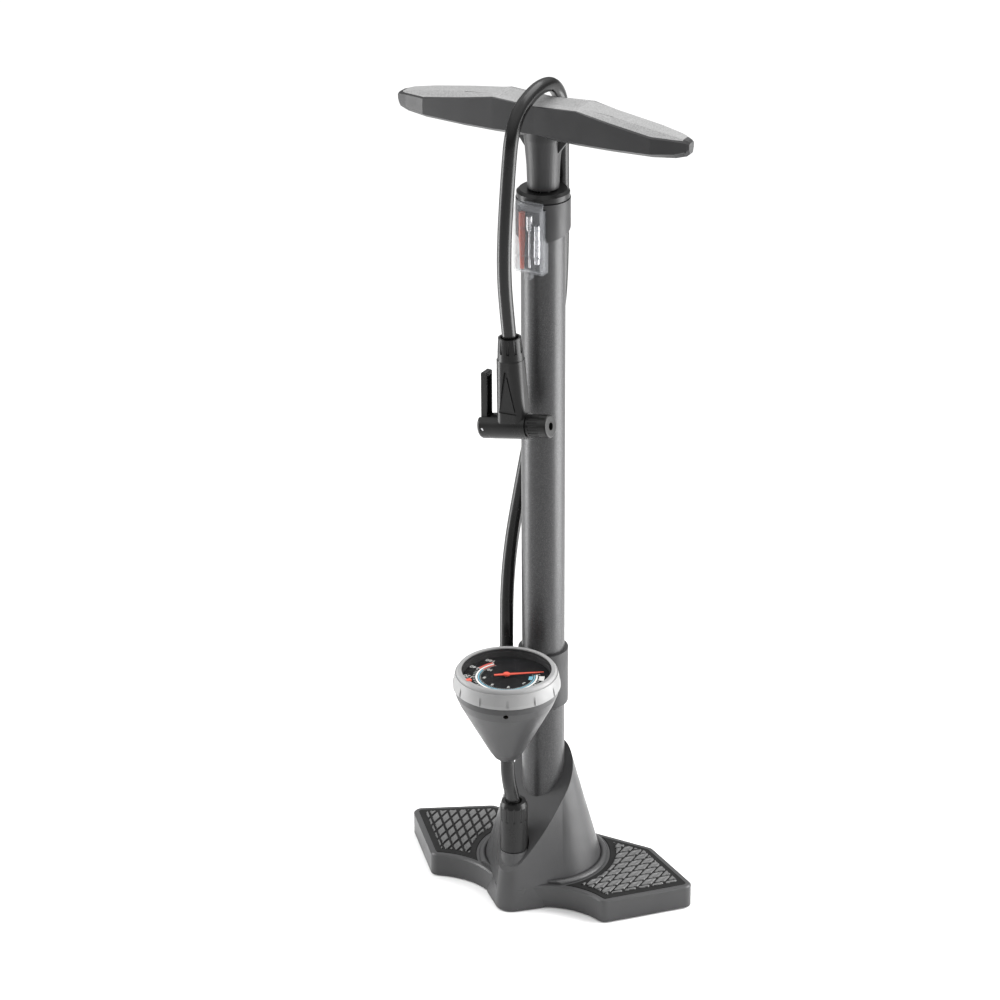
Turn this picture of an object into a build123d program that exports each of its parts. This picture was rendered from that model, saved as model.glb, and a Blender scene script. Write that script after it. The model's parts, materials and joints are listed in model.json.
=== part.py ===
from build123d import *
import math
import os

# Floor pump. Millimetres, +Z up, origin on the barrel's axis at floor level, -Y is the gauge's side.

# Driving dimensions
BARREL_R = 17.5
BARREL_WALL = 1.5
BARREL_Z = (34.0, 606.0)
ROD_R = 6.0
STROKE = 450.0
RIM_Z = 20.5
SHELL_Z = 1.0
GAUGE_Y = -61.5
GAUGE_R = 43.4
HOSE_R = 5.65
HOSE_BORE_R = 2.6
FITTING_Y = -50.5
SLIDE_GAP = 0.4
FIT_GAP = 0.05

# Base
WING_BACK = (76.5, 51.4)
WING_TIP = (135.3, 13.4)
WING_FRONT = (80.6, -47.0)
FRONT_HOLLOW = (42.0, -42.0)
SPUR_SIDE = (15.5, -55.0)
SPUR_TIP_Y = -66.0
CORNER_R = 7.0
TOWER_Z = (18.0, 123.0)
TOWER_R = (49.3, 21.6)
SPUR_Y = (-54.0, -47.0)
SPUR_R = (13.0, 10.0)
SPUR_FLARE = (TOWER_Z[0] - SHELL_Z) / (TOWER_Z[1] - TOWER_Z[0])
TOWER_WALL = 3.0
RIDGE_R = 54.0
RIDGE_WIDTH = 6.0
PAD_INSET = 4.5
PAD_DEPTH = 2.0
PAD_PROUD = 0.6
SOCKET_R = 21.5
SOCKET_TOP = 62.0
SEAT_TOP = 52.0
SEAT_R = 11.4
NUT_TOP = 96.5
FOOT_R = 7.0
FOOT_BOSS_R = 9.0
WING_FEET = [(sign * x, y) for sign in (-1, 1) for x, y in ((76, -35), (76, 39), (116, 11))]
SPUR_FOOT = (0, -57)
FEET = [*WING_FEET, SPUR_FOOT]
SHELL_WALL = 4.5
ROOF = 4.5
PLUG_Z = 22.0
CENTRE_FOOT_R = 12.0
BOLT_R = 3.0
BOLT_HEAD_R = 3.9
BOLT_HEAD_TOP = 4.6
STUB_BASE_R = 6.8
CORE_HOLE_R = 6.5
CORE_HOLES = [(-33, 14), (33, 14), (-24, -26), (24, -26)]
RIB = 3.0
RIB_X = (-94, -58, 0, 58, 94)

# Gauge
BEZEL_Z = (207.5, 223.0)
BEZEL_GROOVES = 12
DIAL_Z = 215.5
LENS_Z = (219.6, 221.6)
LENS_R = 36.4
NEEDLE_REST_DEG = 36.0
NEEDLE_LENGTH = 30.0
CONE_TIP_Z = 142.0

# Head
CAP_R = 20.8
CAP_Z = (603.9, 611.0)
HOLDER_R = 21.4
COVER_X = 11.7
COVER_FRONT_Y = -26.7
COVER_Z = (548.0, 600.0)

# Chuck: the hose enters from above, and the nozzle leaves to the right
CHUCK_CENTRE = (1.5, -50.0, 431.0)
CHUCK_LEAN_DEG = 3.0
NOZZLE_TILT_DEG = 11.0
CHUCK_BORE_R = 5.5
LEVER_X = -24.0
CAM_R = 4.85
CAM_OFFSET = 2.3
NOZZLE_HOLE_R = 3.1

# Routes of the hose's centre line, from the gauge up behind the barrel, over the handle and down
LOWER_ROUTE = [
    (-27.0, -13.5, 199.0),
    (-28.0, -11.0, 226.0),
    (-31.5, -4.0, 262.0),
    (-32.5, 5.0, 300.0),
    (-29.5, 14.0, 340.0),
    (-24.0, 21.0, 386.0),
    (-15.0, 26.5, 434.0),
    (-6.0, 29.5, 474.0),
    (-3.5, 30.0, 495.0),
]
UPPER_ROUTE = [
    (-3.5, 30.0, 495.3),
    (-1.0, 30.5, 518.0),
    (0.5, 30.0, 560.0),
    (0.0, 30.5, 604.0),
    (0.0, 30.0, 635.0),
    (0.0, 30.5, 659.0),
    (0.0, 27.5, 677.5),
    (0.0, 15.0, 690.5),
    (0.0, -3.5, 693.5),
    (0.0, -22.0, 690.5),
    (0.0, -39.5, 683.0),
    (0.0, -50.0, 668.0),
    (-0.3, -53.5, 647.0),
    (-0.8, -56.5, 620.0),
    (-1.4, -59.0, 590.0),
    (-2.0, -59.0, 560.0),
    (-2.4, -55.0, 531.0),
    (-2.2, -50.0, 500.9),
]
FEED_ROUTE = [
    (0.0, FITTING_Y, 66.0),
    (0.0, FITTING_Y, 96.0),
    (0.0, GAUGE_Y + 1.0, 122.0),
    (0.0, GAUGE_Y, 150.0),
]

os.makedirs("parts", exist_ok=True)


def write(name, shape):
    """Write one node's solids to its STEP file."""
    export_step(shape, f"parts/{name}.step")


def post(radius, low, high, x=0.0, y=0.0):
    """An upright cylinder between two heights."""
    return Pos(x, y, (low + high) / 2) * Cylinder(radius, high - low)


def pipe(outer, inner, low, high, x=0.0, y=0.0):
    """An upright tube between two heights."""
    return post(outer, low, high, x, y) - post(inner, low - 1, high + 1, x, y)


def turned(points, x=0.0, y=0.0):
    """A solid turned about an upright axis from (radius, height) points."""
    profile = make_face(Polyline(*[(r, 0, z) for r, z in points], close=True))
    return Pos(x, y, 0) * revolve(profile, Axis.Z)


def block(x_span, y_span, z_span):
    """A box between two corners."""
    size = [span[1] - span[0] for span in (x_span, y_span, z_span)]
    centre = [(span[1] + span[0]) / 2 for span in (x_span, y_span, z_span)]
    return Pos(*centre) * Box(*size)


def ring_seal(major, minor, height, x=0.0, y=0.0):
    """An O-ring lying flat at a height."""
    return Pos(x, y, height) * Torus(major, minor)


def corner_radii(route):
    """The largest arc that each corner's shorter run allows."""
    points = [Vector(*point) for point in route]
    radii = []
    for before, corner, after in zip(points, points[1:], points[2:]):
        turn = math.radians((corner - before).get_angle(after - corner))
        shorter = min((corner - before).length, (after - corner).length)
        radii.append(0.45 * shorter / math.tan(turn / 2))
    return radii


def hose(name, route):
    """A hollow hose along straight runs joined by tangent arcs."""
    radii = corner_radii(route)
    path = FilletPolyline(*route, radius=radii)
    start = Plane(origin=path @ 0, z_dir=path % 0)
    section = start * (Circle(HOSE_R) - Circle(HOSE_BORE_R))
    solid = sweep(section, path=path)
    area = math.pi * (HOSE_R**2 - HOSE_BORE_R**2)
    print(name, "length", round(path.length, 1), "volume / section x length",
          round(solid.volume / (area * path.length), 4), "radii", [round(r) for r in radii])
    write(name, solid)


# Base


def left(point):
    """The same point on the other side."""
    return (-point[0], point[1])


def outline():
    """The base's footprint, with the spur in front and a wing on each side."""
    right_front = ThreePointArc(WING_FRONT, FRONT_HOLLOW, SPUR_SIDE)
    left_front = ThreePointArc(left(SPUR_SIDE), left(FRONT_HOLLOW), left(WING_FRONT))
    spur = ThreePointArc(SPUR_SIDE, (0, SPUR_TIP_Y), left(SPUR_SIDE))
    back = Line(left(WING_BACK), WING_BACK)
    sides = [
        Line(WING_BACK, WING_TIP),
        Line(WING_TIP, WING_FRONT),
        Line(left(WING_FRONT), left(WING_TIP)),
        Line(left(WING_TIP), left(WING_BACK)),
    ]
    face = make_face([right_front, spur, left_front, back, *sides])
    return fillet(face.vertices(), CORNER_R)


def inset_outline(distance):
    """The footprint drawn in by a distance: its left half and that half's mirror image."""
    half = offset(outline(), -distance) & (Pos(-100, 0) * Rectangle(200, 300))
    return half + mirror(half, Plane.YZ)


def tower_section(height, big_r, small_r, small_y):
    """A teardrop: a circle round the barrel and a smaller one in the spur, joined by tangents."""
    reach = -small_y
    sine = (big_r - small_r) / reach
    cosine = math.sqrt(1 - sine**2)
    big = (big_r * cosine, -big_r * sine)
    small = (small_r * cosine, small_y - small_r * sine)
    edges = [
        ThreePointArc(big, (0, big_r), (-big[0], big[1])),
        Line((-big[0], big[1]), (-small[0], small[1])),
        ThreePointArc((-small[0], small[1]), (0, small_y - small_r), small),
        Line(small, big),
    ]
    return Pos(0, 0, height) * make_face(edges)


def wing_pads():
    """The two flat areas on the wings that the rubber treads fill."""
    area = inset_outline(PAD_INSET) - Circle(RIDGE_R + 2.0)
    faces = sorted(area.faces(), key=lambda face: face.center().X)
    return faces[0], faces[-1]


def tower():
    """The hollow cone round the barrel, cut on a slant from the back's top to the fitting."""
    outer = loft([
        tower_section(TOWER_Z[0], TOWER_R[0], SPUR_R[0], SPUR_Y[0]),
        tower_section(TOWER_Z[1], TOWER_R[1], SPUR_R[1], SPUR_Y[1]),
    ])
    inner = loft([
        tower_section(24, 44.0, SPUR_R[0] - TOWER_WALL, SPUR_Y[0] + 3),
        tower_section(TOWER_Z[1] - 12, 18.6, SPUR_R[1] - TOWER_WALL, SPUR_Y[1] + 3),
    ])
    slant = Plane(origin=(0, FITTING_Y, SEAT_TOP - 1), z_dir=(0, -1, 1))
    outer = split(outer, bisect_by=slant, keep=Keep.BOTTOM)
    inner = split(inner, bisect_by=slant.offset(-TOWER_WALL), keep=Keep.BOTTOM)
    return outer - inner


def spur_foot():
    """The front of the tower carried on down to the floor with the same slopes."""
    at_floor = [low + (low - high) * SPUR_FLARE for low, high in (TOWER_R, SPUR_R, SPUR_Y)]
    at_plate = [TOWER_R[0], SPUR_R[0], SPUR_Y[0]]
    foot = loft([tower_section(SHELL_Z, *at_floor), tower_section(TOWER_Z[0], *at_plate)])
    return foot & block((-30, 30), (-80, -48), (0, TOWER_Z[0]))


def under_hollow():
    """The room under the base's plate, divided by ribs and by a boss for each foot."""
    top = RIM_Z - ROOF
    hollow = extrude(inset_outline(SHELL_WALL), top)
    hollow -= post(SOCKET_R + 3.5, 0, RIM_Z)
    hollow -= post(15, 0, RIM_Z, 0, FITTING_Y)
    for x in RIB_X:
        hollow -= block((x - RIB / 2, x + RIB / 2), (-80, 60), (0, RIM_Z))
    hollow -= block(left(WING_TIP)[:1] + WING_TIP[:1], (-RIB / 2, RIB / 2), (0, RIM_Z))
    for x, y in WING_FEET:
        hollow -= post(FOOT_BOSS_R, 0, RIM_Z, x, y)
    return hollow


def base_shell():
    """The plate on its ribs, the tower, the barrel's socket and the hose's seat, in one moulding.

    The tower's hollow opens downwards through four core holes.
    """
    plate = Pos(0, 0, SHELL_Z) * extrude(outline(), RIM_Z - SHELL_Z)
    plate = chamfer(plate.edges().group_by(Axis.Z)[-1], 1.2)
    shell = plate - under_hollow() + tower() + spur_foot()
    for x, y in CORE_HOLES:
        shell -= post(CORE_HOLE_R, 0, 28, x, y)
    shell += pipe(SOCKET_R, BARREL_R, TOWER_Z[0], SOCKET_TOP)
    shell += post(SEAT_R, TOWER_Z[0], SEAT_TOP, 0, FITTING_Y)
    ridge = ring_seal(RIDGE_R - RIDGE_WIDTH / 2, RIDGE_WIDTH / 2, RIM_Z)
    shell += ridge & (Pos(0, 0, RIM_Z - 1) * extrude(inset_outline(PAD_INSET), RIDGE_WIDTH))
    shell -= post(BARREL_R, PLUG_Z, TOWER_Z[1] + 1)
    shell -= post(STUB_BASE_R + 0.2, PLUG_Z, SEAT_TOP + 1, 0, FITTING_Y)
    shell -= post(SEAT_R + 1.0, SEAT_TOP, NUT_TOP + 5, 0, FITTING_Y)
    shell -= block((-5.2, 5.2), (FITTING_Y, -10), (PLUG_Z, PLUG_Z + 11))
    for face in wing_pads():
        shell -= Pos(0, 0, RIM_Z - PAD_DEPTH) * extrude(face, PAD_DEPTH + 2)
    shell -= post(CENTRE_FOOT_R, 0, 4)
    shell -= post(BOLT_R + 0.2, 0, PLUG_Z + 1) + post(BOLT_HEAD_R + 0.2, 0, BOLT_HEAD_TOP + 0.1)
    for x, y in FEET:
        shell -= post(FOOT_R, 0, 4, x, y)
    return shell


def rubber_feet():
    """One foot under the barrel, six under the wings and one under the spur."""
    feet = post(CENTRE_FOOT_R, 0, 3.5) - post(4.0, 2.0, 4)
    for x, y in FEET:
        feet += post(FOOT_R, 0, 4, x, y)
    return feet


def tread_pad(face):
    """The rubber that fills one wing's recess and stands a little proud."""
    height = PAD_DEPTH + PAD_PROUD
    pad = Pos(0, 0, RIM_Z - PAD_DEPTH) * extrude(face, height)
    return chamfer(pad.edges().group_by(Axis.Z)[-1], 0.5)


def foot_bolt():
    """The bolt that draws the barrel's plug down on the base, its head sunk in the centre foot."""
    return post(BOLT_HEAD_R, 2.05, BOLT_HEAD_TOP) + post(BOLT_R, BOLT_HEAD_TOP - 0.1, 25)


write("base_shell", base_shell())
for side, pad_face in zip(("left", "right"), wing_pads()):
    write(f"tread_pad_{side}", tread_pad(pad_face))
write("rubber_feet", rubber_feet())
write("foot_bolt", foot_bolt())

# Barrel, foot valve and the way to the hose

INNER_R = BARREL_R - BARREL_WALL
BALL_R = 3.0
BALL_Z = 42.1
SEAT_Z = 44.8
VALVE_TOP = 50.0
DUCT_Z = 28.0
DUCT_BORE_R = 2.2


def foot_valve_body():
    """A plug in the barrel's foot, with a seat above the ball and a way out to the front."""
    body = post(INNER_R - 0.1, BARREL_Z[0], VALVE_TOP) + post(BARREL_R - 0.1, PLUG_Z + 0.1, BARREL_Z[0])
    body -= post(4.0, 31.5, SEAT_Z)
    body -= post(1.9, BALL_Z, VALVE_TOP + 1)
    duct = Rot(90, 0, 0) * Cylinder(DUCT_BORE_R, 24)
    body -= Pos(0, -10, DUCT_Z) * duct
    body -= post(1.6, DUCT_Z, 33)
    body -= post(BOLT_R, 20, 25.2)
    groove = pipe(INNER_R + 1, INNER_R - 1.9, 39.6, 41.6)
    return body - groove


def check_spring():
    """A small coil that holds the ball up against its seat."""
    pitch = 2.4
    coil = Helix(pitch=pitch, height=3 * pitch, radius=2.4)
    start = Plane(origin=coil @ 0, z_dir=coil % 0)
    wire = sweep(start * Circle(0.3), path=coil)
    return Pos(0, 0, 32.2) * wire


def air_duct():
    """The channel from the foot valve to the hose's elbow."""
    duct = Rot(90, 0, 0) * (Cylinder(4.4, 24.5) - Cylinder(DUCT_BORE_R, 30))
    return Pos(0, -BARREL_R - 12.4, DUCT_Z) * duct


def base_elbow():
    """The brass stub that the feed hose is pushed on to."""
    stub_r = HOSE_BORE_R - 0.5
    barb_r = HOSE_BORE_R - FIT_GAP
    stub = post(STUB_BASE_R, PLUG_Z + 0.1, SEAT_TOP - 0.2, 0, FITTING_Y) + post(stub_r, 50, 82, 0, FITTING_Y)
    for height in (68, 72, 76):
        stub += turned([(0, height), (barb_r, height), (stub_r, height + 3), (0, height + 3)], 0, FITTING_Y)
    stub -= post(1.3, DUCT_Z, 83, 0, FITTING_Y)
    side = Rot(90, 0, 0) * Cylinder(1.6, 12)
    return stub - Pos(0, FITTING_Y + 4, DUCT_Z) * side


def hose_nut():
    """The deep sleeve nut that clamps the feed hose on the base."""
    low, high = SEAT_TOP, NUT_TOP
    nut = turned([(HOSE_R, low), (SEAT_R - 0.6, low), (SEAT_R, low + 1.5), (SEAT_R, high - 4),
                  (SEAT_R - 1.6, high), (HOSE_R + 1.4, high), (HOSE_R + 0.1, high - 14)], 0, FITTING_Y)
    for step in range(12):
        flute = Pos(SEAT_R + 1.0, 0, high - 9) * Cylinder(1.5, 14)
        nut -= Pos(0, FITTING_Y, 0) * Rot(0, 0, step * 30) * flute
    return nut


write("barrel", pipe(BARREL_R, INNER_R, *BARREL_Z))
write("foot_valve_body", foot_valve_body())
write("foot_valve_seal", ring_seal(INNER_R - 0.95, 0.9, 40.6))
write("check_ball", Pos(0, 0, BALL_Z) * Sphere(BALL_R))
write("check_spring", check_spring())
write("air_duct", air_duct())
write("base_elbow", base_elbow())
write("hose_nut", hose_nut())
hose("feed_hose", FEED_ROUTE)

# Gauge

CONE_OUTLINE = [(8.2, CONE_TIP_Z), (10.5, 144), (14.5, 150), (28, 175), (38, 194), (41.2, 202), (41.6, 207)]
PORT_Z = 182.0
VENT_Z = 200.5
VENT_DEG = -62.0
MANIFOLD_SIDE = (-3.0, GAUGE_Y + 6.2, PORT_Z)
ELBOW_CORNER = (LOWER_ROUTE[0][0], LOWER_ROUTE[0][1], PORT_Z)


def gauge_housing():
    """The deep cone that hangs in front of the barrel, hollow, with the feed hose's hole at its tip."""
    hole_r = HOSE_R + 0.5
    outer = [(hole_r, CONE_TIP_Z), *CONE_OUTLINE, (37.0, 207), (37.0, LENS_Z[1]), (35.0, LENS_Z[1])]
    inner = [(35.0, LENS_Z[0]), (35.6, LENS_Z[0]), (35.6, 200), (26, 178), (13, 154), (hole_r, 150)]
    cup = turned(outer + inner, 0, GAUGE_Y)
    lens_seat = post(LENS_R + 0.1, LENS_Z[0], LENS_Z[1] + 1, 0, GAUGE_Y)
    run_x, run_y = ELBOW_CORNER[0] - MANIFOLD_SIDE[0], ELBOW_CORNER[1] - MANIFOLD_SIDE[1]
    heading = Rot(0, 0, math.degrees(math.atan2(run_y, run_x)))
    port = Pos(*MANIFOLD_SIDE) * heading * Pos(20, 0, 0) * Rot(0, 90, 0) * Cylinder(4.7, 38)
    vent = Rot(0, 0, VENT_DEG) * Pos(40, 0, VENT_Z) * Rot(0, 90, 0) * Cylinder(2.1, 16)
    return cup - lens_seat - port - Pos(0, GAUGE_Y, 0) * vent


def gauge_collar():
    """The clamp round the barrel that carries the gauge on a short arm."""
    collar = pipe(20.4, BARREL_R, 166, 215.5)
    collar = chamfer(collar.edges().group_by(Axis.Z)[0].sort_by(SortBy.LENGTH)[-1], 1.5)
    arm = block((-9, 9), (GAUGE_Y + 22, -18.5), (172, 203))
    cone = turned([(0, CONE_TIP_Z), *CONE_OUTLINE, (41.6, 230), (0, 230)], 0, GAUGE_Y)
    collar += arm
    collar -= cone
    collar -= post(GAUGE_R + 0.8, 206.6, 230, 0, GAUGE_Y)
    collar -= post(BARREL_R, 160, 220)
    slot = Rot(0, 0, 118) * block((16, 24), (-1.2, 1.2), (176, 188))
    return collar - slot - collar_screw()


def collar_screw():
    """The screw at the collar's left side."""
    thread = Pos(-19, 0, 190) * Rot(0, 90, 0) * Cylinder(1.5, 2.8)
    return thread + Pos(-21.2, 0, 190) * Rot(0, 90, 0) * Cylinder(3.2, 2.4)


def gauge_manifold():
    """The tee that feeds the gauge and sends the air on to the long hose."""
    low = 151.6
    tee = post(6.6, low, 196, 0, GAUGE_Y) - post(1.6, low - 1, 192, 0, GAUGE_Y)
    tee += post(HOSE_BORE_R - 0.5, 140, low + 1, 0, GAUGE_Y) - post(1.4, 130, low + 3, 0, GAUGE_Y)
    return tee


def hose_elbow():
    """The bent stub on the gauge's back that turns the air up into the long hose."""
    x, y, hose_z = LOWER_ROUTE[0]
    top = hose_z - 0.7
    path = FilletPolyline(MANIFOLD_SIDE, ELBOW_CORNER, (x, y, top), radius=6)
    section = Plane(origin=path @ 0, z_dir=path % 0) * Circle(4.4)
    return sweep(section, path=path) + post(HOSE_R + 1.2, top - 7.5, top, x, y)


def bezel_ring():
    """The turning ring round the lens, with narrow finger grooves."""
    low, high = BEZEL_Z
    ring = turned([(37.4, low), (GAUGE_R - 1.2, low), (GAUGE_R - 1.0, low + 3), (40.0, high - 1),
                   (39.2, high), (36.2, high), (36.2, LENS_Z[1] + 0.4), (37.4, LENS_Z[1] + 0.4)], 0, GAUGE_Y)
    grip = turned([(38.0, low + 1), (GAUGE_R, low + 1), (GAUGE_R, low + 3.5), (41.4, high - 3),
                   (38.0, high - 3)], 0, GAUGE_Y)
    ring += grip
    for step in range(BEZEL_GROOVES):
        groove = block((GAUGE_R - 1.2, GAUGE_R + 5), (-0.9, 0.9), (low - 1, high - 2.5))
        ring -= Pos(0, GAUGE_Y, 0) * Rot(0, 0, step * 360 / BEZEL_GROOVES) * groove
    return ring


def pressure_marker():
    """The small pointer on the bezel that marks the wanted pressure."""
    marker = block((34.0, 37.6), (-1.6, 1.6), (LENS_Z[1] + 0.5, BEZEL_Z[1] + 0.6))
    return Pos(0, GAUGE_Y, 0) * Rot(0, 0, -118) * marker - bezel_ring()


def needle():
    """A thin pointer with a short tail, on its hub."""
    reach = NEEDLE_LENGTH
    shape = make_face(Polyline((-10, -1.1), (0, -1.3), (reach, -0.35), (reach, 0.35), (0, 1.3), (-10, 1.1),
                               close=True))
    blade = Pos(0, 0, DIAL_Z + 2.0) * extrude(shape, 0.6)
    blade += post(2.6, DIAL_Z + 1.6, DIAL_Z + 3.2)
    blade -= post(0.9, DIAL_Z - 1, DIAL_Z + 2.9)
    return Pos(0, GAUGE_Y, 0) * Rot(0, 0, NEEDLE_REST_DEG) * blade


def gauge_movement():
    """The closed can with the pressure tube inside, on top of the tee."""
    can = post(27, 199, 213, 0, GAUGE_Y) - post(25.5, 201, 211.5, 0, GAUGE_Y)
    can += post(5.5, 196, 212.5, 0, GAUGE_Y)
    return can - post(0.95, 205, 214, 0, GAUGE_Y)


write("gauge_collar", gauge_collar())
write("gauge_housing", gauge_housing())
write("gauge_manifold", gauge_manifold())
write("hose_elbow", hose_elbow())
write("gauge_movement", gauge_movement())
write("dial_plate", pipe(35.2, 1.6, DIAL_Z - 0.8, DIAL_Z, 0, GAUGE_Y))
write("gauge_lens", post(LENS_R, *LENS_Z, 0, GAUGE_Y))
write("bezel_ring", bezel_ring())
write("pressure_marker", pressure_marker())
write("gauge_needle", needle())
write("needle_shaft", post(0.9, 206, DIAL_Z + 2.9, 0, GAUGE_Y))
write("collar_screw", collar_screw())
hose("hose_lower", LOWER_ROUTE)

# Barrel head and accessory box

ADAPTER_Y = -22.0
TRAY_FRONT_Y = -18.7
ADAPTERS = [(-6.5, 2.6), (0.0, 2.6), (6.5, 2.6)]


def top_cap():
    """The ring that closes the barrel's top round the rod."""
    roof = BARREL_Z[1] + 0.2
    return turned([(ROD_R + 1, roof), (BARREL_R, roof), (BARREL_R, CAP_Z[0]), (CAP_R - 0.8, CAP_Z[0]),
                   (CAP_R, CAP_Z[0] + 0.8), (CAP_R, CAP_Z[1] - 2.2), (CAP_R - 2.2, CAP_Z[1]),
                   (ROD_R + 1, CAP_Z[1])])


def rod_bushing():
    """The guide that the rod runs in, with a groove for its seal."""
    bushing = pipe(INNER_R - 0.05, ROD_R + FIT_GAP, 588, 606)
    return bushing - pipe(INNER_R + 1, INNER_R - 1.9, 595, 598)


def cover_space(grow):
    """The room that the sliding cover takes, grown by a gap."""
    return block((-COVER_X - grow, COVER_X + grow), (COVER_FRONT_Y - 20, -9), (530, COVER_Z[1] + grow))


def accessory_holder():
    """The clamp under the cap, cut on a slant, with the tray that the cover slides on."""
    collar = pipe(HOLDER_R, BARREL_R, 566, CAP_Z[0])
    slant = Plane(origin=(0, 0, 578), z_dir=(0, 0.24, -1))
    collar = split(collar, bisect_by=slant, keep=Keep.BOTTOM)
    collar -= cover_space(SLIDE_GAP)
    tray = block((-9.6, 9.6), (TRAY_FRONT_Y, -12), (550, CAP_Z[0])) - post(BARREL_R, 540, 610)
    return collar + tray


def adapter_shelves(reach):
    """Two thin shelves inside the cover, with a hole for each adapter."""
    shelves = block((-reach, reach), (COVER_FRONT_Y + 1, TRAY_FRONT_Y - SLIDE_GAP), (561.2, 562.6))
    shelves += block((-reach, reach), (COVER_FRONT_Y + 1, TRAY_FRONT_Y - SLIDE_GAP), (584, 585.4))
    for x, radius in ADAPTERS:
        shelves -= post(radius + FIT_GAP, 540, 610, x, ADAPTER_Y)
    return shelves


def accessory_cover():
    """The clear cover that slides down off the tray, with the adapters on its shelves."""
    wall = 1.2
    low, high = COVER_Z
    front = COVER_FRONT_Y
    side = [(front, low + 4), (front, high - 0.5), (front + 4.4, high + 6.6), (front + 5.0, high + 6.6),
            (front + 5.0, high), (-9.5, high), (-9.5, low), (front + 4, low)]
    inside = [(front + wall, low + 4.4), (front + wall, high - 0.9), (front + 4.2, high + 4.0),
              (front + 3.8, high - wall), (-9, high - wall), (-9, low + wall), (front + 4.4, low + wall)]
    outer = extrude(Plane.YZ * make_face(Polyline(*side, close=True)), COVER_X, both=True)
    inner = extrude(Plane.YZ * make_face(Polyline(*inside, close=True)), COVER_X - wall, both=True)
    shell = outer - inner - post(BARREL_R + SLIDE_GAP, low - 5, high + 9)
    shell -= block((-COVER_X + wall, COVER_X - wall), (-21.6, -9), (high - 3, high + 1))
    shell -= post(HOLDER_R + SLIDE_GAP, high, high + 9)
    tab = block((-3, 3), (front + 1, front + 6), (low - 4, low + wall))
    return shell + fillet(tab.edges().filter_by(Axis.Y), 1.2) + adapter_shelves(COVER_X - wall)


def inflator_cone():
    x, radius = ADAPTERS[0]
    return turned([(0, 551), (1.6, 551), (2.2, 572), (radius, 574), (radius, 597), (0, 597)], x, ADAPTER_Y)


def ball_needle():
    x, radius = ADAPTERS[1]
    return turned([(0, 552), (1.0, 553), (1.0, 583), (2.0, 583), (radius, 584.5), (radius, 595), (0, 595)],
                  x, ADAPTER_Y)


def valve_adapter():
    x, radius = ADAPTERS[2]
    return turned([(0, 557), (2.2, 557), (2.2, 561), (radius, 561.5), (radius, 576), (2.3, 576.5),
                   (2.3, 588), (0, 588)], x, ADAPTER_Y)


write("top_cap", top_cap())
write("rod_bushing", rod_bushing())
write("cap_seal", ring_seal(INNER_R - 0.95, 0.9, 596.5))
write("accessory_holder", accessory_holder())
write("accessory_cover", accessory_cover())
write("inflator_cone", inflator_cone())
write("ball_needle", ball_needle())
write("valve_adapter", valve_adapter())

# Rod, piston and handle

PISTON_Z = (56.0, 74.0)
ROD_TOP = 668.0
NECK_Z = 612.0


def piston():
    """The disc on the rod's foot, with a groove for its seal."""
    body = pipe(INNER_R - SLIDE_GAP, ROD_R - 1.5, *PISTON_Z)
    body -= post(ROD_R, PISTON_Z[0] + 6, PISTON_Z[1] + 1)
    return body - pipe(INNER_R + 1, INNER_R - 2.9, 62, 66)


def piston_rod():
    """The rod, stepped down at its foot where the piston sits."""
    step = PISTON_Z[0] + 6
    return post(ROD_R, step, ROD_TOP) + post(ROD_R - 1.5, 52.2, step)


def handle_section(x, half, edge_z, crown_half, crown_z, low_half, low_z):
    """One cross-section of the handle: flat front and back, a crowned top and a narrower underside."""
    mid_z = low_z + 4.0
    right = [(low_half, low_z), (half, mid_z), (half, edge_z), (crown_half, crown_z)]
    left = [(-y, z) for y, z in reversed(right)]
    plane = Plane(origin=(x, 0, 0), x_dir=(0, 1, 0), z_dir=(1, 0, 0))
    return plane * make_face(Polyline(*right, *left, close=True))


# x, half depth, edge height, crown half width, crown height, underside half width, underside height
HANDLE_SECTIONS = [
    (0.0, 15.0, 680.0, 8.0, 681.5, 9.0, 654.5),
    (36.0, 15.5, 682.0, 9.0, 683.5, 9.0, 653.5),
    (64.0, 15.2, 676.5, 7.5, 680.5, 8.5, 653.5),
    (98.0, 14.4, 671.0, 7.0, 675.5, 8.0, 654.5),
    (116.0, 9.5, 670.0, 5.0, 672.5, 5.5, 656.0),
    (124.0, 5.5, 668.5, 3.0, 670.0, 3.5, 658.0),
    (126.0, 4.0, 667.5, 2.0, 668.5, 2.5, 660.0),
]
SKIN_RIM = 1.6
SKIN_END_X = 121.0


def handle_form():
    """The handle's whole outer shape, symmetrical left and right."""
    right = loft([handle_section(*row) for row in HANDLE_SECTIONS], ruled=True)
    return right + mirror(right, Plane.YZ)


def handle_cover(form):
    """The top skin, from end to end."""
    edge = [(x, half - SKIN_RIM) for x, half, *_ in HANDLE_SECTIONS if x < SKIN_END_X]
    edge.append((SKIN_END_X, edge[-1][1] - 3))
    back = [(-x, y) for x, y in reversed(edge[1:])] + edge
    front = [(x, -y) for x, y in reversed(back)]
    area = make_face(Polyline(*back, *front, close=True))
    return (form - Pos(0, 0, -2.4) * form) & (Pos(0, 0, 640) * extrude(area, 60))


def handle_core(form, cover):
    neck = turned([(0, NECK_Z), (12.4, NECK_Z), (13.0, 630), (14.2, 644), (15.0, 652), (15.0, 660),
                   (0, 660)])
    gusset_side = make_face(Polyline((10, 636), (24, 655), (10, 655), close=True))
    gusset = extrude(Plane.XZ * gusset_side, 2.0, both=True)
    core = form + neck + gusset + mirror(gusset, Plane.YZ)
    core -= post(ROD_R, NECK_Z - 1, ROD_TOP)
    core -= post(10.2, 662, 676)
    return core - cover


def rod_nut():
    nut = Pos(0, 0, 665) * extrude(RegularPolygon(9.6, 6), 5)
    return nut - post(ROD_R, 664, 671)


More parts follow.
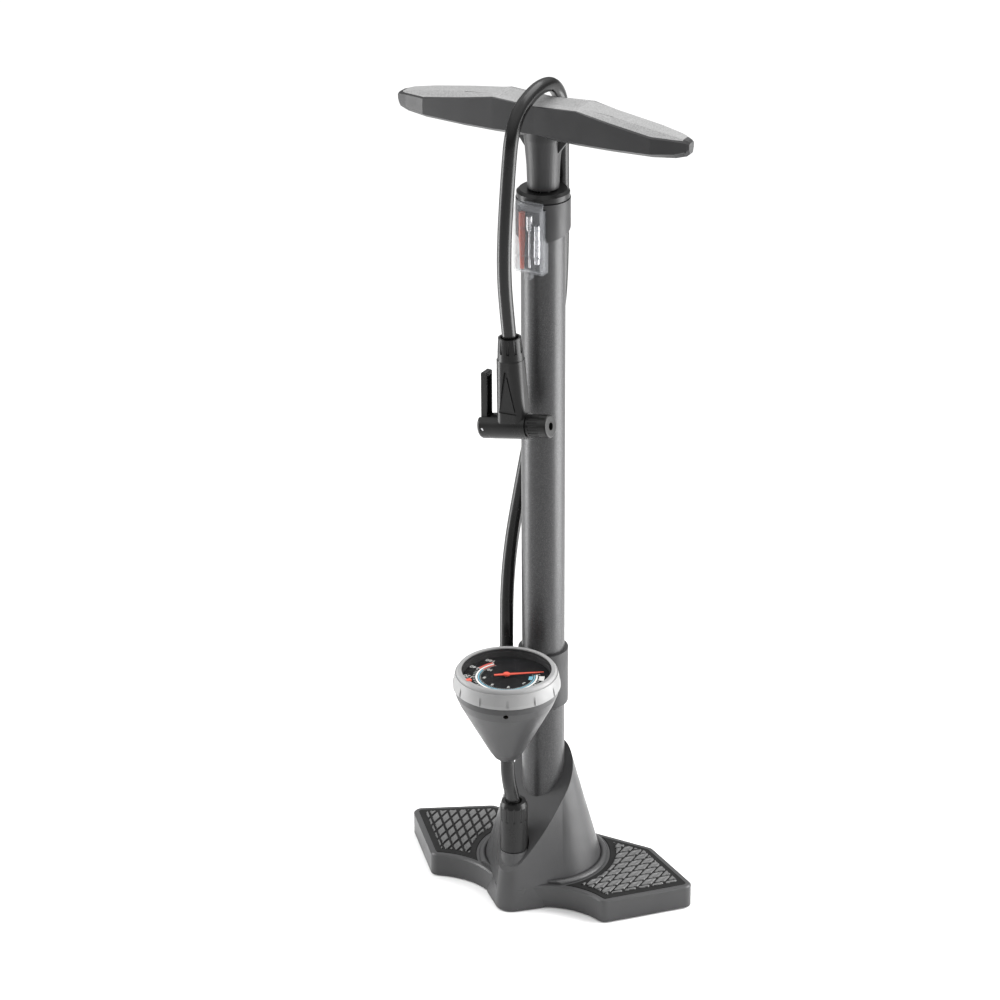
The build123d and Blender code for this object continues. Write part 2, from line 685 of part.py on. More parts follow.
write("piston_rod", piston_rod())
write("piston", piston())
write("piston_seal", ring_seal(INNER_R - FIT_GAP - 1.4, 1.4, 64))
write("piston_nut", Pos(0, 0, 52.4) * extrude(RegularPolygon(8.0, 6), 3.4) - post(ROD_R - 1.5, 50, 60))
handle = handle_form()
cover_skin = handle_cover(handle)
write("handle_core", handle_core(handle, cover_skin))
write("handle_cover", cover_skin)
write("rod_nut", rod_nut())
hose("hose_upper", UPPER_ROUTE)

# Chuck

COLLAR_Z = (56.0, 74.0)
COLLAR_FLUTES = 10
NOZZLE_X = (14.6, 33.0)
SPIGOT_END = 27.0
PLUNGER_X = (-16.0, 21.5)
GASKET_X = (22.2, 29.2)


def on_hose(shape):
    """Place a shape whose own Z runs up the hose."""
    return Pos(*CHUCK_CENTRE) * Rot(0, -CHUCK_LEAN_DEG, 0) * shape


def on_nozzle(shape):
    """Place a shape whose own X runs out of the nozzle."""
    return Pos(*CHUCK_CENTRE) * Rot(0, -NOZZLE_TILT_DEG, 0) * shape


def along(radius, low, high):
    """A cylinder along X."""
    return Pos((low + high) / 2, 0, 0) * Rot(0, 90, 0) * Cylinder(radius, high - low)


def chuck_body():
    """The stem below the hose and the barrel across its foot, bored for the plunger."""
    foot = RectangleRounded(25, 18, 6)
    neck = Pos(0, 0, COLLAR_Z[0]) * RectangleRounded(21.4, 19.4, 8.5)
    stem = loft([foot, neck])
    panel = Plane.XZ * make_face(Polyline((-8, 13), (8, 13), (1.0, 48), (-1.0, 48), close=True))
    frame_line = Plane.XZ * make_face(Polyline((-6, 15), (6, 15), (0.4, 43), (-0.4, 43), close=True))
    stem -= Pos(0, -8.3, 0) * (extrude(panel, 4) - extrude(frame_line, 0.7))
    barrel = along(10.2, -29, NOZZLE_X[0] - SLIDE_GAP) + along(7.0, 10, SPIGOT_END)
    end_edges = barrel.edges().group_by(Axis.X)[0]
    barrel = fillet(end_edges, 3)
    slot = block((-31, -17.2), (-5.0, 5.0), (-12, 12))
    barrel -= slot + along(CHUCK_BORE_R, -19, SPIGOT_END + 1)
    barrel -= Pos(LEVER_X, 0, 0) * Rot(90, 0, 0) * Cylinder(1.6, 24)
    bore = on_nozzle(along(CHUCK_BORE_R, -19, SPIGOT_END + 1) + slot)
    air = on_hose(post(HOSE_BORE_R, 0, COLLAR_Z[0] + 1))
    return on_hose(stem) - bore + on_nozzle(barrel) - air


def hose_collar():
    """The fluted ferrule above the stem, with a flared socket for the hose's end."""
    low, high = COLLAR_Z
    socket = high - 5.5
    collar = turned([(HOSE_BORE_R, low), (10.4, low), (8.9, high), (HOSE_R + 1.5, high),
                     (HOSE_R + 0.5, socket), (HOSE_BORE_R, socket)])
    for step in range(COLLAR_FLUTES):
        flute = Pos(9.9, 0, high - 4) * Cylinder(1.1, 16)
        collar -= Rot(0, 0, step * 360 / COLLAR_FLUTES) * flute
    return on_hose(collar)


def chuck_lever():
    """A channel-shaped lever with a round cam that is off centre, on its pin."""
    cam = Pos(LEVER_X + CAM_OFFSET, 0, 0) * Rot(90, 0, 0) * Cylinder(CAM_R, 9)
    arm = block((LEVER_X - 3.4, LEVER_X + 1.6), (-4.5, 4.5), (0, 46))
    arm -= block((LEVER_X - 1.9, LEVER_X + 3), (-3.2, 3.2), (9, 43))
    arm = fillet(arm.edges().filter_by(Axis.Y).group_by(Axis.Z)[-1], 1.2)
    upright = Pos(LEVER_X, 0, 0) * Rot(0, NOZZLE_TILT_DEG, 0) * Pos(-LEVER_X, 0, 0)
    lever = cam + upright * arm
    return on_nozzle(lever - Pos(LEVER_X, 0, 0) * Rot(90, 0, 0) * Cylinder(1.6 + FIT_GAP, 24))


def chuck_plunger():
    """The hollow pusher between the cam and the gasket."""
    body = along(CHUCK_BORE_R - FIT_GAP, *PLUNGER_X) - along(2.6, -8, PLUNGER_X[1] + 1)
    body -= along(7, -3, 5) - along(3.9, -4, 6)
    body -= along(7, -11.6, -9) - along(4.0, -12, -8)
    return on_nozzle(body - post(1.5, -9, 9, 1, 0))


def nozzle_cap():
    """The ribbed cap that screws on the front and holds the gasket."""
    low, high = NOZZLE_X
    cap = along(9.2, low, high)
    cap = fillet(cap.edges().group_by(Axis.X)[-1], 1.4)
    for step in range(20):
        rib = Rot(step * 18, 0, 0) * Pos(low + 6.5, 0, 9.6) * Rot(0, 90, 0) * Cylinder(0.9, 9)
        cap -= rib
    cap -= along(7.0 + SLIDE_GAP, low - 1, 29.6)
    return on_nozzle(cap - along(NOZZLE_HOLE_R, low, high + 1))


write("chuck_body", chuck_body())
write("hose_collar", hose_collar())
write("lever_pin", on_nozzle(Pos(LEVER_X, 0, 0) * Rot(90, 0, 0) * Cylinder(1.6, 18)))
write("chuck_lever", chuck_lever())
write("chuck_plunger", chuck_plunger())
write("plunger_seal", on_nozzle(Pos(-10.3, 0, 0) * Rot(0, 90, 0) * Torus(4.72, 0.65)))
write("nozzle_cap", nozzle_cap())
write("valve_gasket", on_nozzle(along(CHUCK_BORE_R - 0.1, *GASKET_X) - along(NOZZLE_HOLE_R, 20, 32)))
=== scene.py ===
import json
import math

import bmesh
import bpy
import numpy as np
from mathutils import Matrix, Vector


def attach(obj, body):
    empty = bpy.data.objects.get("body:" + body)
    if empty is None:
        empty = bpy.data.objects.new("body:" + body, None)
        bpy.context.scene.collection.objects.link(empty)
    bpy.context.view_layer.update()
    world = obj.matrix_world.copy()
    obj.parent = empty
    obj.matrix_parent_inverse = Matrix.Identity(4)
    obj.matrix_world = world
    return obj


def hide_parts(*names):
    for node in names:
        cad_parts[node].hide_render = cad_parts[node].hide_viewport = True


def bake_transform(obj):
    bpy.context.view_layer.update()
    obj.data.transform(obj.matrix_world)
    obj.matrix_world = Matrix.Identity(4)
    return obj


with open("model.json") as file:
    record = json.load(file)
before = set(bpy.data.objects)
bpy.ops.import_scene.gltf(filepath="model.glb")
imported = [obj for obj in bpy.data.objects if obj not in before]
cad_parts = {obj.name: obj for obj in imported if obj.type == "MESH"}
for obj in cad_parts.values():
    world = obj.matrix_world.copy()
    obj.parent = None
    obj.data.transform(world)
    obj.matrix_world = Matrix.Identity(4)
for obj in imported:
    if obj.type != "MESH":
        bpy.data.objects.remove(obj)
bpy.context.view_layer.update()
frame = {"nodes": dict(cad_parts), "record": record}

# Floor pump. Metres, +Z up, origin on the barrel's axis at floor level, -Y is the gauge's side.

NODES = frame["nodes"]

HOSE_RADIUS = 0.00565
GAUGE_AXIS = Vector((0.0, -0.0615, 0.0))
DIAL_Z = 0.2155
NEEDLE_REST_DEG = 36.0
NEEDLE_SWEEP_DEG = 252.0

CAMERA_PLACE = (1.2463, -2.2954, 1.5569)
CAMERA_TARGET = (0.0, 0.0, 0.3)
CAMERA_LENS_MM = 129.6
CAMERA_SENSOR_MM = 36.0
CAMERA_SHIFT = (-0.0432, 0.0526)

# How strongly the studio shines at the horizon and overhead
HORIZON_STRENGTH = 0.25
OVERHEAD_STRENGTH = 1.45

FLOOR_RADIUS = 9.0
FLOOR_DROP = 0.0002

# Each soft light's place, target, width and height, and power in watts
SOFTBOXES = {
    "softbox_left": ((-0.53, -0.22, 0.32), (0.0, 0.0, 0.34), (0.22, 0.80), 4.5),
    "softbox_right": ((0.52, 0.24, 0.32), (0.0, 0.0, 0.34), (0.42, 0.80), 8.0),
    "softbox_top": ((0.1, 0.9, 2.0), (0.0, 0.0, 0.3), (1.4, 1.0), 14.0),
}

# The hose's centre line, from the gauge up behind the barrel, over the handle and down to the chuck
HOSE_ROUTE_MM = [
    (-27.0, -13.5, 199.0),
    (-28.0, -11.0, 226.0),
    (-31.5, -4.0, 262.0),
    (-32.5, 5.0, 300.0),
    (-29.5, 14.0, 340.0),
    (-24.0, 21.0, 386.0),
    (-15.0, 26.5, 434.0),
    (-6.0, 29.5, 474.0),
    (-3.5, 30.0, 495.0),
    (-1.0, 30.5, 518.0),
    (0.5, 30.0, 560.0),
    (0.0, 30.5, 604.0),
    (0.0, 30.0, 635.0),
    (0.0, 30.5, 659.0),
    (0.0, 27.5, 677.5),
    (0.0, 15.0, 690.5),
    (0.0, -3.5, 693.5),
    (0.0, -22.0, 690.5),
    (0.0, -39.5, 683.0),
    (0.0, -50.0, 668.0),
    (-0.3, -53.5, 647.0),
    (-0.8, -56.5, 620.0),
    (-1.4, -59.0, 590.0),
    (-2.0, -59.0, 560.0),
    (-2.4, -55.0, 531.0),
    (-2.2, -50.0, 500.9),
]


# Camera and light


def aim(obj, target):
    """Turn a camera or light so that it looks at a point."""
    obj.rotation_euler = (Vector(target) - obj.location).to_track_quat("-Z", "Y").to_euler()


def add_camera():
    """The photo's view of the pump: from in front, to the right and above."""
    data = bpy.data.cameras.new("camera")
    data.lens = CAMERA_LENS_MM
    data.sensor_width = CAMERA_SENSOR_MM
    data.shift_x, data.shift_y = CAMERA_SHIFT
    camera = bpy.data.objects.new("camera", data)
    bpy.context.collection.objects.link(camera)
    camera.location = CAMERA_PLACE
    aim(camera, CAMERA_TARGET)
    bpy.context.scene.camera = camera


def add_softbox(name, location, target, size, power):
    """A soft rectangular light that isn't itself seen."""
    data = bpy.data.lights.new(name, "AREA")
    data.shape = "RECTANGLE"
    data.size, data.size_y = size
    data.energy = power
    light = bpy.data.objects.new(name, data)
    bpy.context.collection.objects.link(light)
    light.location = location
    aim(light, target)
    light.visible_camera = False


def add_world():
    """A studio that is bright overhead and dim at the horizon: a white floor and dark sides."""
    world = bpy.data.worlds.new("studio")
    bpy.context.scene.world = world
    world.use_nodes = True
    tree = world.node_tree
    place = tree.nodes.new("ShaderNodeTexCoord")
    split = tree.nodes.new("ShaderNodeSeparateXYZ")
    tree.links.new(place.outputs["Generated"], split.inputs["Vector"])
    tree.nodes["Background"].inputs["Color"].default_value = (1.0, 1.0, 1.0, 1.0)
    strength = remap(tree, split.outputs["Z"], HORIZON_STRENGTH, OVERHEAD_STRENGTH, 0.2, 0.75)
    tree.links.new(strength, tree.nodes["Background"].inputs["Strength"])


def add_floor():
    """A wide pale disc just under the feet."""
    mesh = bpy.data.meshes.new("floor")
    shape = bmesh.new()
    bmesh.ops.create_circle(shape, cap_ends=True, radius=FLOOR_RADIUS, segments=96)
    shape.to_mesh(mesh)
    shape.free()
    floor = bpy.data.objects.new("floor", mesh)
    bpy.context.collection.objects.link(floor)
    floor.location.z = -FLOOR_DROP
    paint = plastic("pale_floor", (0.88, 0.88, 0.88), 0.9, grain=300, bump=0.0, blotch=0.0)
    floor.data.materials.append(paint)


# Materials


def new_material(name):
    """A material with its node tree and its shader."""
    material = bpy.data.materials.new(name)
    material.use_nodes = True
    tree = material.node_tree
    return material, tree, tree.nodes["Principled BSDF"]


def noise(tree, scale, detail=3.0):
    """A noise texture in the object's own space."""
    place = tree.nodes.new("ShaderNodeTexCoord")
    texture = tree.nodes.new("ShaderNodeTexNoise")
    texture.inputs["Scale"].default_value = scale
    texture.inputs["Detail"].default_value = detail
    tree.links.new(place.outputs["Object"], texture.inputs["Vector"])
    return texture.outputs["Fac"]


def remap(tree, value, low, high, start=0.3, end=0.7):
    """Stretch a value between start and end onto low to high."""
    node = tree.nodes.new("ShaderNodeMapRange")
    node.inputs["From Min"].default_value = start
    node.inputs["From Max"].default_value = end
    node.inputs["To Min"].default_value = low
    node.inputs["To Max"].default_value = high
    tree.links.new(value, node.inputs["Value"])
    return node.outputs["Result"]


def two_tones(tree, factor, first, second):
    """A colour that runs from first to second with a factor from 0 to 1."""
    ramp = tree.nodes.new("ShaderNodeValToRGB")
    ramp.color_ramp.elements[0].position = 0.0
    ramp.color_ramp.elements[0].color = (*first, 1.0)
    ramp.color_ramp.elements[1].position = 1.0
    ramp.color_ramp.elements[1].color = (*second, 1.0)
    tree.links.new(factor, ramp.inputs["Fac"])
    return ramp.outputs["Color"]


def scaled(colour, factor):
    """A lighter or darker version of a colour."""
    return tuple(min(1.0, channel * factor) for channel in colour)


def plastic(name, colour, roughness, grain=1400.0, bump=0.08, blotch=0.12, specular=0.5):
    """A moulded or painted surface: slow tone changes, fine grain in the relief, uneven gloss."""
    material, tree, shader = new_material(name)
    tone = remap(tree, noise(tree, 22.0), 0.0, 1.0)
    colours = two_tones(tree, tone, scaled(colour, 1.0 - blotch), scaled(colour, 1.0 + blotch))
    tree.links.new(colours, shader.inputs["Base Color"])
    gloss = remap(tree, noise(tree, 60.0), roughness * 0.85, min(1.0, roughness * 1.15))
    tree.links.new(gloss, shader.inputs["Roughness"])
    relief = tree.nodes.new("ShaderNodeBump")
    relief.inputs["Strength"].default_value = bump
    relief.inputs["Distance"].default_value = 0.0004
    tree.links.new(noise(tree, grain, 2.0), relief.inputs["Height"])
    tree.links.new(relief.outputs["Normal"], shader.inputs["Normal"])
    shader.inputs["Specular IOR Level"].default_value = specular
    return material


def flake_paint(name, colour, roughness):
    """Metallic paint: bright specks in a dark ground under a clear coat."""
    material, tree, shader = new_material(name)
    specks = remap(tree, noise(tree, 2600.0, 1.0), 0.0, 1.0, 0.52, 0.78)
    colours = two_tones(tree, specks, scaled(colour, 0.8), scaled(colour, 3.6))
    tree.links.new(colours, shader.inputs["Base Color"])
    gloss = remap(tree, noise(tree, 700.0), roughness * 0.8, roughness * 1.25)
    tree.links.new(gloss, shader.inputs["Roughness"])
    relief = tree.nodes.new("ShaderNodeBump")
    relief.inputs["Strength"].default_value = 0.12
    relief.inputs["Distance"].default_value = 0.0003
    tree.links.new(noise(tree, 1500.0, 2.0), relief.inputs["Height"])
    tree.links.new(relief.outputs["Normal"], shader.inputs["Normal"])
    shader.inputs["Metallic"].default_value = 0.35
    shader.inputs["Coat Weight"].default_value = 0.15
    shader.inputs["Coat Roughness"].default_value = 0.3
    return material


def grip_skin(name):
    """The handle's light cover: grained on both grips, smooth and glossy over the middle."""
    material, tree, shader = new_material(name)
    place = tree.nodes.new("ShaderNodeTexCoord")
    split = tree.nodes.new("ShaderNodeSeparateXYZ")
    tree.links.new(place.outputs["Object"], split.inputs["Vector"])
    side = tree.nodes.new("ShaderNodeMath")
    side.operation = "ABSOLUTE"
    tree.links.new(split.outputs["X"], side.inputs[0])
    grip = remap(tree, side.outputs["Value"], 0.0, 1.0, 0.031, 0.040)
    tone = remap(tree, noise(tree, 1100.0), 0.0, 1.0, 0.35, 0.65)
    colours = two_tones(tree, tone, (0.26, 0.26, 0.26), (0.40, 0.40, 0.40))
    tree.links.new(colours, shader.inputs["Base Color"])
    tree.links.new(remap(tree, grip, 0.24, 0.55, 0.0, 1.0), shader.inputs["Roughness"])
    relief = tree.nodes.new("ShaderNodeBump")
    relief.inputs["Distance"].default_value = 0.0005
    tree.links.new(remap(tree, grip, 0.03, 0.5, 0.0, 1.0), relief.inputs["Strength"])
    tree.links.new(noise(tree, 1300.0, 2.0), relief.inputs["Height"])
    tree.links.new(relief.outputs["Normal"], shader.inputs["Normal"])
    return material


def brushed(name, colour, roughness, stretch):
    """Bare metal with fine tool marks: the texture is stretched along one axis."""
    material, tree, shader = new_material(name)
    place = tree.nodes.new("ShaderNodeTexCoord")
    mapping = tree.nodes.new("ShaderNodeMapping")
    mapping.inputs["Scale"].default_value = stretch
    texture = tree.nodes.new("ShaderNodeTexNoise")
    texture.inputs["Scale"].default_value = 900.0
    tree.links.new(place.outputs["Object"], mapping.inputs["Vector"])
    tree.links.new(mapping.outputs["Vector"], texture.inputs["Vector"])
    marks = texture.outputs["Fac"]
    colours = two_tones(tree, marks, scaled(colour, 0.85), scaled(colour, 1.1))
    tree.links.new(colours, shader.inputs["Base Color"])
    tree.links.new(remap(tree, marks, roughness * 0.7, roughness * 1.3), shader.inputs["Roughness"])
    shader.inputs["Metallic"].default_value = 1.0
    return material


def clear(name, colour, thin, thick, specular):
    """Clear plastic: nearly open face on, more solid at a glancing angle."""
    material, tree, shader = new_material(name)
    weight = tree.nodes.new("ShaderNodeLayerWeight")
    weight.inputs["Blend"].default_value = 0.12
    tree.links.new(remap(tree, weight.outputs["Facing"], thin, thick, 0.0, 1.0), shader.inputs["Alpha"])
    tree.links.new(remap(tree, noise(tree, 90.0), 0.03, 0.09), shader.inputs["Roughness"])
    tone = remap(tree, noise(tree, 40.0), 0.0, 1.0)
    tree.links.new(two_tones(tree, tone, scaled(colour, 0.92), colour), shader.inputs["Base Color"])
    shader.inputs["Specular IOR Level"].default_value = specular
    return material


MATERIALS = {
    "shell_plastic": plastic("shell_plastic", (0.040, 0.040, 0.041), 0.36, bump=0.14, specular=0.4),
    "handle_plastic": plastic("handle_plastic", (0.022, 0.022, 0.023), 0.44, bump=0.12, specular=0.4),
    "cover_plastic": grip_skin("cover_plastic"),
    "black_plastic": plastic("black_plastic", (0.007, 0.007, 0.007), 0.32, grain=500, bump=0.03,
                             specular=0.3),
    "grey_plastic": plastic("grey_plastic", (0.27, 0.27, 0.27), 0.52, bump=0.14),
    "barrel_paint": flake_paint("barrel_paint", (0.034, 0.034, 0.035), 0.38),
    "tread_rubber": plastic("tread_rubber", (0.085, 0.085, 0.085), 0.32, grain=1800, bump=0.15),
    # Painted shade: a near-black copy of the tread rubber for the grooves and the pads, darker than the
    # diamond tops
    "tread_rubber_shaded": plastic("tread_rubber_shaded", (0.006, 0.006, 0.006), 0.60, grain=1800, bump=0.15, specular=0.2),
    "seal_rubber": plastic("seal_rubber", (0.015, 0.015, 0.015), 0.55, bump=0.15),
    "hose_rubber": plastic("hose_rubber", (0.007, 0.007, 0.007), 0.25, grain=900, bump=0.05, specular=0.35),
    "rod_steel": brushed("rod_steel", (0.72, 0.72, 0.74), 0.10, (1.0, 1.0, 0.03)),
    "steel": brushed("steel", (0.58, 0.58, 0.60), 0.28, (1.0, 1.0, 0.2)),
    "brass": brushed("brass", (0.72, 0.52, 0.22), 0.25, (1.0, 1.0, 0.2)),
    "clear_plastic": clear("clear_plastic", (0.34, 0.35, 0.37), 0.14, 0.80, 0.9),
    "gauge_glass": clear("gauge_glass", (0.05, 0.05, 0.05), 0.02, 0.15, 0.1),
    "orange_plastic": plastic("orange_plastic", (0.50, 0.06, 0.01), 0.35),
    "dial_face": plastic("dial_face", (0.007, 0.007, 0.008), 0.60, bump=0.04, specular=0.1),
    "red_paint": plastic("red_paint", (0.78, 0.10, 0.06), 0.40, bump=0.04),
    "white_print": plastic("white_print", (0.82, 0.82, 0.80), 0.5, bump=0.03, blotch=0.04),
    "blue_print": plastic("blue_print", (0.18, 0.45, 0.58), 0.5, bump=0.03, blotch=0.06),
}


# CAD nodes whose finish is a variant of their slot's: the tread pads take the rubber's copy painted dark as
# shade
FINISHES = {
    "tread_pad_left": "tread_rubber_shaded",
    "tread_pad_right": "tread_rubber_shaded",
    "gauge_lens": "gauge_glass",
    "lever_pin": "rod_steel",
}


def paint_cad_nodes():
    """Give each CAD node the material its record slot names, or its own variant of it."""
    for part in frame["record"]["subparts"]:
        obj = NODES[part["node"]]
        obj.data.materials.clear()
        obj.data.materials.append(MATERIALS[FINISHES.get(part["node"], part["material_slot"])])


# Edges of the CAD nodes that are rounded a little, in metres
EDGE_WIDTHS = {
    "base_shell": 0.0009,
    "handle_core": 0.0030,
    "handle_cover": 0.0030,
    "chuck_body": 0.0006,
    "chuck_lever": 0.0005,
    "nozzle_cap": 0.0003,
    "gauge_housing": 0.0005,
    "gauge_collar": 0.0006,
    "bezel_ring": 0.0005,
    "top_cap": 0.0005,
    "accessory_holder": 0.0005,
    "accessory_cover": 0.0004,
    "hose_nut": 0.0004,
    "hose_collar": 0.0003,
}

# Edges sharper than this are rounded: on the handle, its shallow facets too
CORNER_DEG = 32
FACET_DEG = 7


def round_edges():
    """Soften the edges that catch the light."""
    for name, width in EDGE_WIDTHS.items():
        rounding = NODES[name].modifiers.new("rounded_edges", "BEVEL")
        rounding.width = width
        rounding.segments = 3
        rounding.limit_method = "ANGLE"
        limit = FACET_DEG if name.startswith("handle") else CORNER_DEG
        rounding.angle_limit = math.radians(limit)
        rounding.harden_normals = True


# Mesh helpers


def add_mesh(name, vertices, faces, material, smooth=True):
    """A mesh object in one material."""
    mesh = bpy.data.meshes.new(name)
    mesh.from_pydata(vertices, [], faces)
    mesh.update()
    mesh.polygons.foreach_set("use_smooth", [smooth] * len(mesh.polygons))
    obj = bpy.data.objects.new(name, mesh)
    bpy.context.collection.objects.link(obj)
    mesh.materials.append(material)
    return obj


def spline_points(route_mm):
    """Points along the smooth line that has the route as its control points."""
    data = bpy.data.curves.new("route", "CURVE")
    data.dimensions = "3D"
    spline = data.splines.new("NURBS")
    spline.points.add(len(route_mm) - 1)
    for point, (x, y, z) in zip(spline.points, route_mm):
        point.co = (x / 1000, y / 1000, z / 1000, 1.0)
    spline.order_u = 3
    spline.use_endpoint_u = True
    spline.resolution_u = 10
    guide = bpy.data.objects.new("route", data)
    bpy.context.collection.objects.link(guide)
    line = bpy.data.meshes.new_from_object(guide)
    points = [vertex.co.copy() for vertex in line.vertices]
    bpy.data.meshes.remove(line)
    bpy.data.objects.remove(guide)
    bpy.data.curves.remove(data)
    return points


def tube(name, points, radius, material, sides=28):
    """A closed tube along points, its rings turned as little as possible from one to the next."""
    ring_x = Vector((1.0, 0.0, 0.0))
    vertices = []
    for index, point in enumerate(points):
        before = points[max(index - 1, 0)]
        after = points[min(index + 1, len(points) - 1)]
        forward = (after - before).normalized()
        ring_x = (ring_x - forward * ring_x.dot(forward)).normalized()
        ring_y = forward.cross(ring_x)
        for side in range(sides):
            angle = 2 * math.pi * side / sides
            vertices.append(point + radius * (math.cos(angle) * ring_x + math.sin(angle) * ring_y))
    faces = []
    for ring in range(len(points) - 1):
        for side in range(sides):
            here, there = ring * sides, (ring + 1) * sides
            after = (side + 1) % sides
            faces.append((here + side, here + after, there + after, there + side))
    last = (len(points) - 1) * sides
    faces.append(tuple(reversed(range(sides))))
    faces.append(tuple(range(last, last + sides)))
    return add_mesh(name, vertices, faces, material)


def add_hose():
    """The long hose as one cord, in place of the CAD hose's lower and upper parts."""
    points = spline_points(HOSE_ROUTE_MM)
    hose = tube("hose", points, HOSE_RADIUS, MATERIALS["hose_rubber"])
    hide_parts("hose_lower", "hose_upper")
    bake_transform(hose)


# Gauge dial

PRINT_LIFT = 0.00012
OVERPRINT_LIFT = 0.00004

# Where the scale turns red, as a share of it
RED_FROM = 0.88

# Inner and outer radii of the printed bands
TICK_BAND = (0.0256, 0.0273)
WHITE_RING = (0.0235, 0.0251)
THIN_RING = (0.0220, 0.0230)
WHITE_BLOCK = (0.0262, 0.0305)
BLUE_BLOCK = (0.0180, 0.0212)
INNER_TICKS = (0.0207, 0.0216)


def dial_angle(share):
    """Where a share of the scale, from 0 to 1, lies on the dial, in radians from +X."""
    return math.radians(NEEDLE_REST_DEG - NEEDLE_SWEEP_DEG * share)


def dial_arc(name, inner, outer, start, end, height, material):
    """A flat printed band between two shares of the scale."""
    steps = 72
    vertices, faces = [], []
    for step in range(steps + 1):
        angle = dial_angle(start + (end - start) * step / steps)
        for radius in (inner, outer):
            edge = Vector((math.cos(angle) * radius, math.sin(angle) * radius, height))
            vertices.append(GAUGE_AXIS + edge)
    for step in range(steps):
        corner = 2 * step
        faces.append((corner, corner + 1, corner + 3, corner + 2))
    band = add_mesh(name, vertices, faces, material, smooth=False)
    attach(band, "base")


def dial_ticks(name, count, inner, outer, half_width, height, material):
    """Short radial strokes, every fifth of them a third longer."""
    vertices, faces = [], []
    for step in range(count + 1):
        angle = dial_angle(step / count)
        out = Vector((math.cos(angle), math.sin(angle), 0.0))
        across = Vector((-out.y, out.x, 0.0)) * half_width
        start = inner - (outer - inner) / 3 if step % 5 == 0 else inner
        first = len(vertices)
        for radius, side in ((start, -1), (outer, -1), (outer, 1), (start, 1)):
            vertices.append(GAUGE_AXIS + out * radius + across * side + Vector((0.0, 0.0, height)))
        faces.append((first, first + 1, first + 2, first + 3))
    ticks = add_mesh(name, vertices, faces, material, smooth=False)
    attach(ticks, "base")


def dial_text(name, words, share, radius, size, height, material):
    """Print that is upright for the person at the handle, who looks from the +Y side."""
    data = bpy.data.curves.new(name, "FONT")
    data.body = words
    data.size = size
    data.align_x = "CENTER"
    data.align_y = "CENTER"
    source = bpy.data.objects.new(name + "_source", data)
    bpy.context.collection.objects.link(source)
    mesh = bpy.data.meshes.new_from_object(source)
    bpy.data.objects.remove(source)
    angle = dial_angle(share)
    centre = GAUGE_AXIS + Vector((math.cos(angle) * radius, math.sin(angle) * radius, height))
    mesh.transform(Matrix.Translation(centre) @ Matrix.Rotation(math.pi, 4, "Z"))
    mesh.name = name
    printed = bpy.data.objects.new(name, mesh)
    bpy.context.collection.objects.link(printed)
    mesh.materials.clear()
    mesh.materials.append(material)
    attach(printed, "base")


def add_dial_print():
    """Two scales with their bands: 20 to 160 outside, 2 to 10 inside."""
    white, blue, red = MATERIALS["white_print"], MATERIALS["blue_print"], MATERIALS["red_paint"]
    height = DIAL_Z + PRINT_LIFT
    dial_ticks("dial_ticks_outer", 40, *TICK_BAND, 0.00026, height, white)
    dial_arc("dial_ring_white", *WHITE_RING, 0.0, 1.0, height, white)
    dial_arc("dial_ring_blue", *THIN_RING, 0.0, RED_FROM, height, blue)
    dial_arc("dial_ring_red", *THIN_RING, RED_FROM, 1.0, height, red)
    dial_arc("dial_band_red", *TICK_BAND, RED_FROM, 1.0, height + OVERPRINT_LIFT, red)
    dial_arc("dial_block_white", *WHITE_BLOCK, 0.025, 0.085, height, white)
    dial_arc("dial_block_blue", *BLUE_BLOCK, 0.025, 0.095, height, blue)
    dial_ticks("dial_ticks_inner", 55, *INNER_TICKS, 0.00018, height, white)
    for step in range(1, 9):
        dial_text(f"dial_number_{step * 20}", str(step * 20), step / 8, 0.0307, 0.0056, height, white)
    for step in range(1, 6):
        dial_text(f"dial_inner_{step * 2}", str(step * 2), step * 2 / 11, 0.0178, 0.0046, height, white)


# Tread pads


def outline_segments(node):
    """The boundary of a pad's flat top, as pairs of points in plan."""
    mesh = NODES[node].data
    top = max(vertex.co.z for vertex in mesh.vertices)
    shape = bmesh.new()
    shape.from_mesh(mesh)
    bmesh.ops.remove_doubles(shape, verts=shape.verts, dist=1e-6)
    segments = []
    for edge in shape.edges:
        if all(abs(vertex.co.z - top) < 1e-5 for vertex in edge.verts):
            flat = [all(abs(v.co.z - top) < 1e-5 for v in face.verts) for face in edge.link_faces]
            if flat.count(True) == 1:
                segments.append([vertex.co.xy[:] for vertex in edge.verts])
    shape.free()
    return np.array(segments), top


def inside_distance(x, y, segments):
    """How far each point lies inside the outline, negative outside it."""
    nearest = np.full(x.shape, np.inf)
    inside = np.zeros(x.shape, bool)
    for (ax, ay), (bx, by) in segments:
        dx, dy = bx - ax, by - ay
        along = np.clip(((x - ax) * dx + (y - ay) * dy) / (dx * dx + dy * dy), 0, 1)
        nearest = np.minimum(nearest, np.hypot(x - ax - along * dx, y - ay - along * dy))
        if ay != by:
            crosses = (ay > y) != (by > y)
            inside ^= crosses & (x < ax + (y - ay) * dx / dy)
    return np.where(inside, nearest, -nearest)


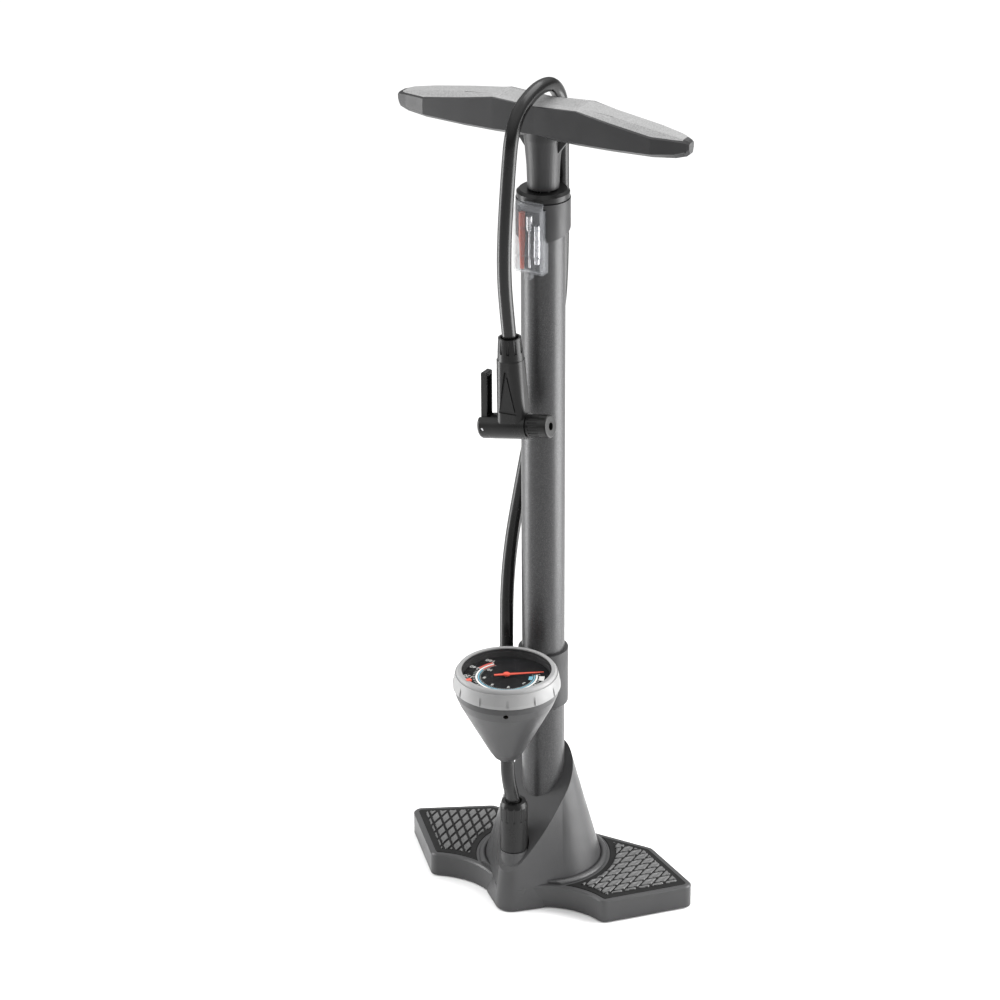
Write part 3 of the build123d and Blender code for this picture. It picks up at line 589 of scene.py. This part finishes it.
def add_tread(node, name, mirrored):
    """Raised, slightly dished diamonds between crossing grooves painted dark as shade, inside a plain border.
    """
    cell = 0.0080
    border = 0.0040
    depth = 0.0014
    sunk = 0.0003
    step = 0.0005
    segments, top = outline_segments(node)
    low, high = segments.min(axis=(0, 1)), segments.max(axis=(0, 1))
    xs = np.arange(low[0], high[0] + step, step)
    ys = np.arange(low[1], high[1] + step, step)
    x, y = np.meshgrid(xs, ys, indexing="ij")
    edge = inside_distance(x, y, segments)
    slope = math.radians(48.5)
    first = x / cell
    second = (x * math.sin(slope) + mirrored * y * math.cos(slope)) / cell
    groove = np.minimum(0.5 - np.abs(first % 1 - 0.5), 0.5 - np.abs(second % 1 - 0.5)) * cell
    raised = np.clip((groove - 0.0006) / 0.0006, 0, 1)
    dish = 0.30 * np.clip((groove - 0.0020) / 0.0012, 0, 1)
    fade = np.clip((edge - border) / 0.0010, 0, 1)
    height = top - sunk + (sunk + depth) * (raised - dish) * fade
    rows, columns = x.shape
    vertices = np.stack([x, y, height], axis=-1).reshape(-1, 3)
    keep = (edge > 0.0015).reshape(-1)
    number = np.where(keep, np.cumsum(keep) - 1, -1).reshape(rows, columns)
    corners = [number[:-1, :-1], number[1:, :-1], number[1:, 1:], number[:-1, 1:]]
    faces = np.stack(corners, axis=-1).reshape(-1, 4)
    faces = faces[(faces >= 0).all(axis=1)]
    tread = add_mesh(name, vertices[keep].tolist(), faces.tolist(), MATERIALS["tread_rubber"])
    # Faces in the grooves take the copy of the rubber painted dark as shade
    tread.data.materials.append(MATERIALS["tread_rubber_shaded"])
    in_shaded_groove = ((raised * fade).reshape(-1)[keep][faces].mean(axis=1) < 0.5).astype(int)
    tread.data.polygons.foreach_set("material_index", in_shaded_groove.tolist())
    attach(tread, "base")


# Build

bpy.context.scene.view_settings.view_transform = "Standard"
add_camera()
add_world()
for name, setup in SOFTBOXES.items():
    add_softbox(name, *setup)
add_floor()
paint_cad_nodes()
round_edges()
add_hose()
add_dial_print()
add_tread("tread_pad_left", "tread_diamonds_left", 1)
add_tread("tread_pad_right", "tread_diamonds_right", -1)
